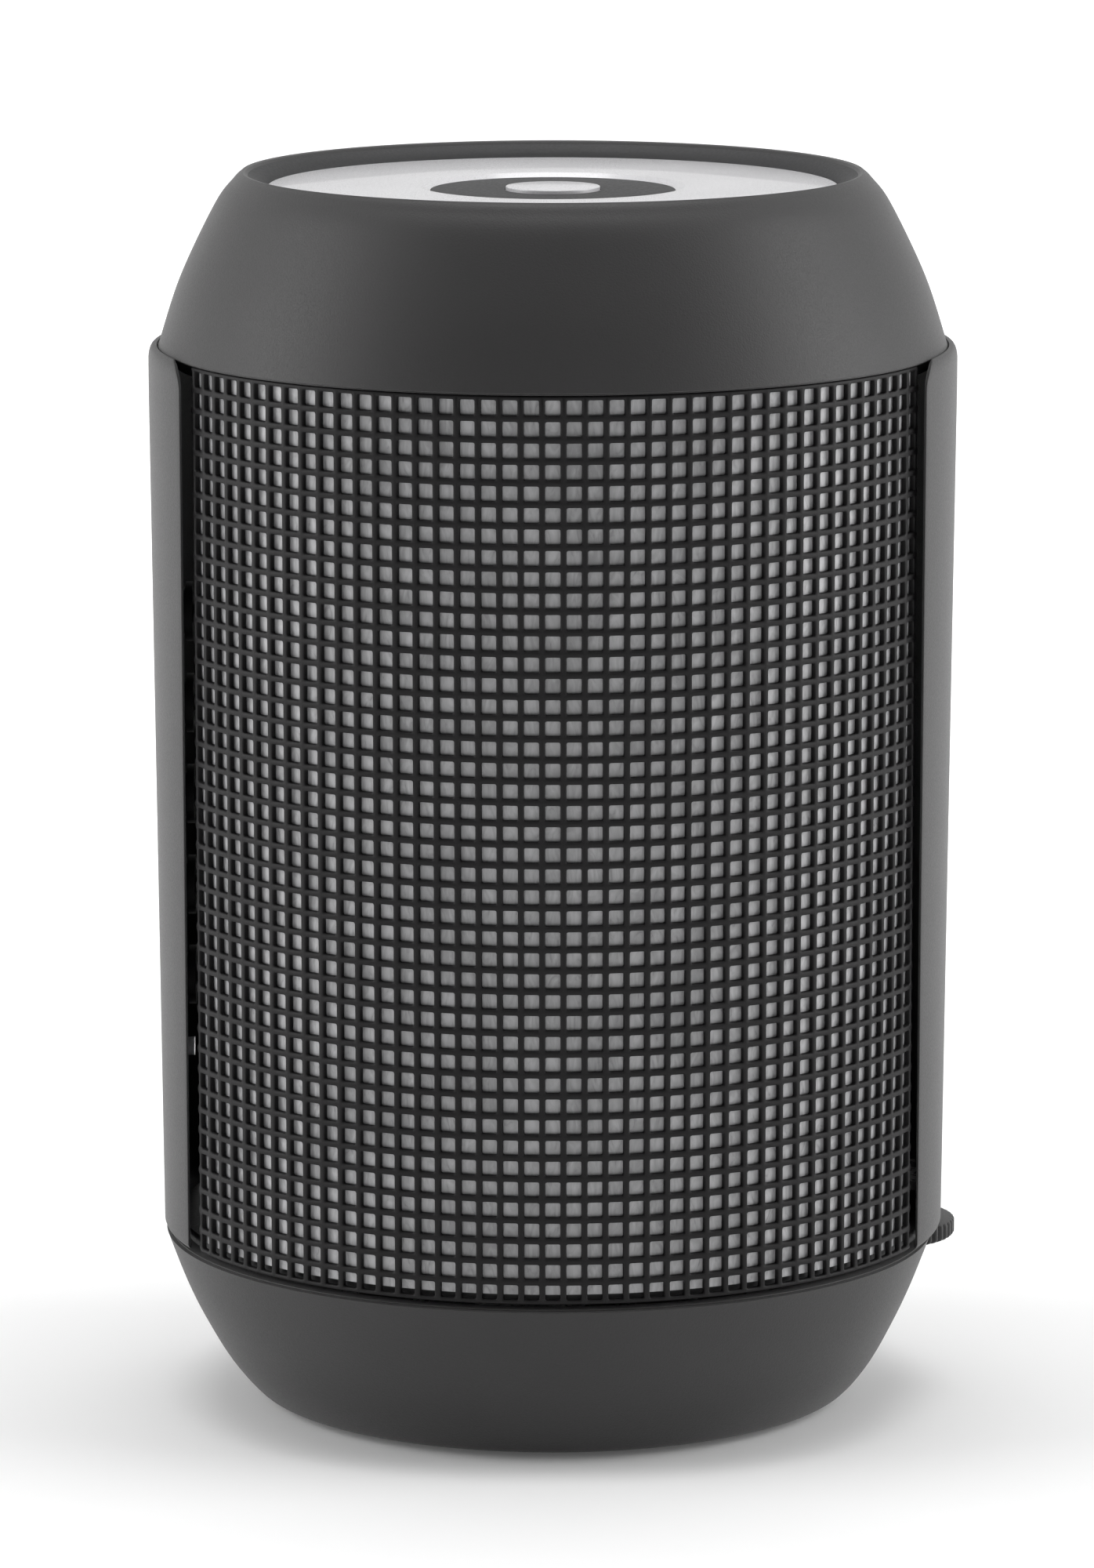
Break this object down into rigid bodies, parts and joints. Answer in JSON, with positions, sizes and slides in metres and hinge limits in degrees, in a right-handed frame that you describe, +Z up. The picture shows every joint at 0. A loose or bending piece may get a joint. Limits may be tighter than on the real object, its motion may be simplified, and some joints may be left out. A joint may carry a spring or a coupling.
{
  "type": "portable bluetooth speaker",
  "caption": "Small barrel-shaped speaker with a lit open lattice front, domed caps, blank side strips, a silver passive radiator on top and a ribbed thumbwheel at one seam.",
  "frame": {"origin": "centre of the flat underside of the foot pad, on the oval body's vertical axis", "axes": "+Z up along the body's axis, +X to the listener's right towards the thumbwheel, -Y towards the lit front grille"},
  "size_m": [0.0868, 0.0772, 0.133],
  "materials": {
    "shell": "soft-touch dark grey",
    "strip": "soft-touch grey",
    "lattice": "moulded lattice with soft edges",
    "black_plastic": "plain moulded",
    "pearl": "milky pearl light diffuser",
    "cloth": "fine acoustic cloth",
    "rubber": "matte",
    "silver": "satin silver disc",
    "steel": "zinc plated",
    "ferrite": "sintered ferrite",
    "cone_paper": "coated pulp",
    "copper": "enamelled copper winding",
    "board_green": "glass fibre board with solder mask",
    "board_white": "white flexible board",
    "diode": "clear encapsulant over phosphor",
    "cell_wrap": "shrink sleeve",
    "chip_black": "moulded package",
    "key_grey": "moulded key",
    "clear": "clear light pipe",
    "foam": "closed-cell foam"
  },
  "bodies": {
    "case": {"aux_socket": "chip_black", "battery": "cell_wrap", "battery_cradle": "black_plastic", "board_capacitors": "silver", "board_chips": "chip_black", "board_coils": "ferrite", "board_screws": "steel", "bottom_cap": "shell", "bottom_screws": "steel", "cabinet": "black_plastic", "card_socket": "steel", "driver_baffle": "black_plastic", "driver_basket": "steel", "driver_gasket": "foam", "driver_magnet": "ferrite", "driver_screws": "steel", "driver_spider": "cloth", "driver_surround": "rubber", "driver_top_plate": "steel", "driver_yoke": "steel", "foot_pad": "rubber", "front_diffuser": "pearl", "front_grille": "lattice", "key_board": "board_green", "key_switches": "chip_black", "left_strip": "strip", "light_board": "board_white", "light_diodes": "diode", "lower_ring": "black_plastic", "main_board": "board_green", "microphone": "steel", "radiator_surround": "rubber", "radio_module": "steel", "rear_cloth": "cloth", "rear_grille": "lattice", "right_strip": "strip", "status_diode": "diode", "status_lens": "clear", "top_cap": "shell", "top_gasket": "foam", "top_screws": "steel", "upper_ring": "black_plastic", "usb_socket": "steel", "wheel_board": "board_green", "wheel_potentiometer": "chip_black"},
    "radiator": {"radiator_plate": "silver", "radiator_weight": "steel"},
    "driver_moving": {"driver_cone": "cone_paper", "voice_coil": "copper"},
    "wheel": {"volume_wheel": "strip", "wheel_spindle": "steel"},
    "light_key": {"light_key": "key_grey"},
    "volume_down_key": {"volume_down_key": "key_grey"},
    "play_key": {"play_key": "key_grey"},
    "volume_up_key": {"volume_up_key": "key_grey"},
    "power_key": {"power_key": "key_grey"}
  },
  "joints": [
    {"name": "radiator_travel", "type": "slide", "parent": "case", "child": "radiator", "axis": [0, 0, 1], "range_m": [-0.0006, 0.0006], "stiffness_N_per_m": 1500},
    {"name": "cone_travel", "type": "slide", "parent": "case", "child": "driver_moving", "axis": [0, 1, 0], "range_m": [-0.0008, 0.0008], "stiffness_N_per_m": 1200},
    {"name": "wheel_turn", "type": "hinge", "parent": "case", "child": "wheel", "pos_m": [0.0366, 0.002, 0.0176], "axis": [0, 0, 1], "range_deg": [-140, 140]},
    {"name": "light_key_press", "type": "slide", "parent": "case", "child": "light_key", "axis": [1, 0, 0], "range_m": [0, 0.0003], "stiffness_N_per_m": 4000, "springref_m": -0.0002},
    {"name": "volume_down_key_press", "type": "slide", "parent": "case", "child": "volume_down_key", "axis": [1, 0, 0], "range_m": [0, 0.0003], "stiffness_N_per_m": 4000, "springref_m": -0.0002},
    {"name": "play_key_press", "type": "slide", "parent": "case", "child": "play_key", "axis": [1, 0, 0], "range_m": [0, 0.0003], "stiffness_N_per_m": 4000, "springref_m": -0.0002},
    {"name": "volume_up_key_press", "type": "slide", "parent": "case", "child": "volume_up_key", "axis": [1, 0, 0], "range_m": [0, 0.0003], "stiffness_N_per_m": 4000, "springref_m": -0.0002},
    {"name": "power_key_press", "type": "slide", "parent": "case", "child": "power_key", "axis": [1, 0, 0], "range_m": [0, 0.0003], "stiffness_N_per_m": 4000, "springref_m": -0.0002}
  ]
}
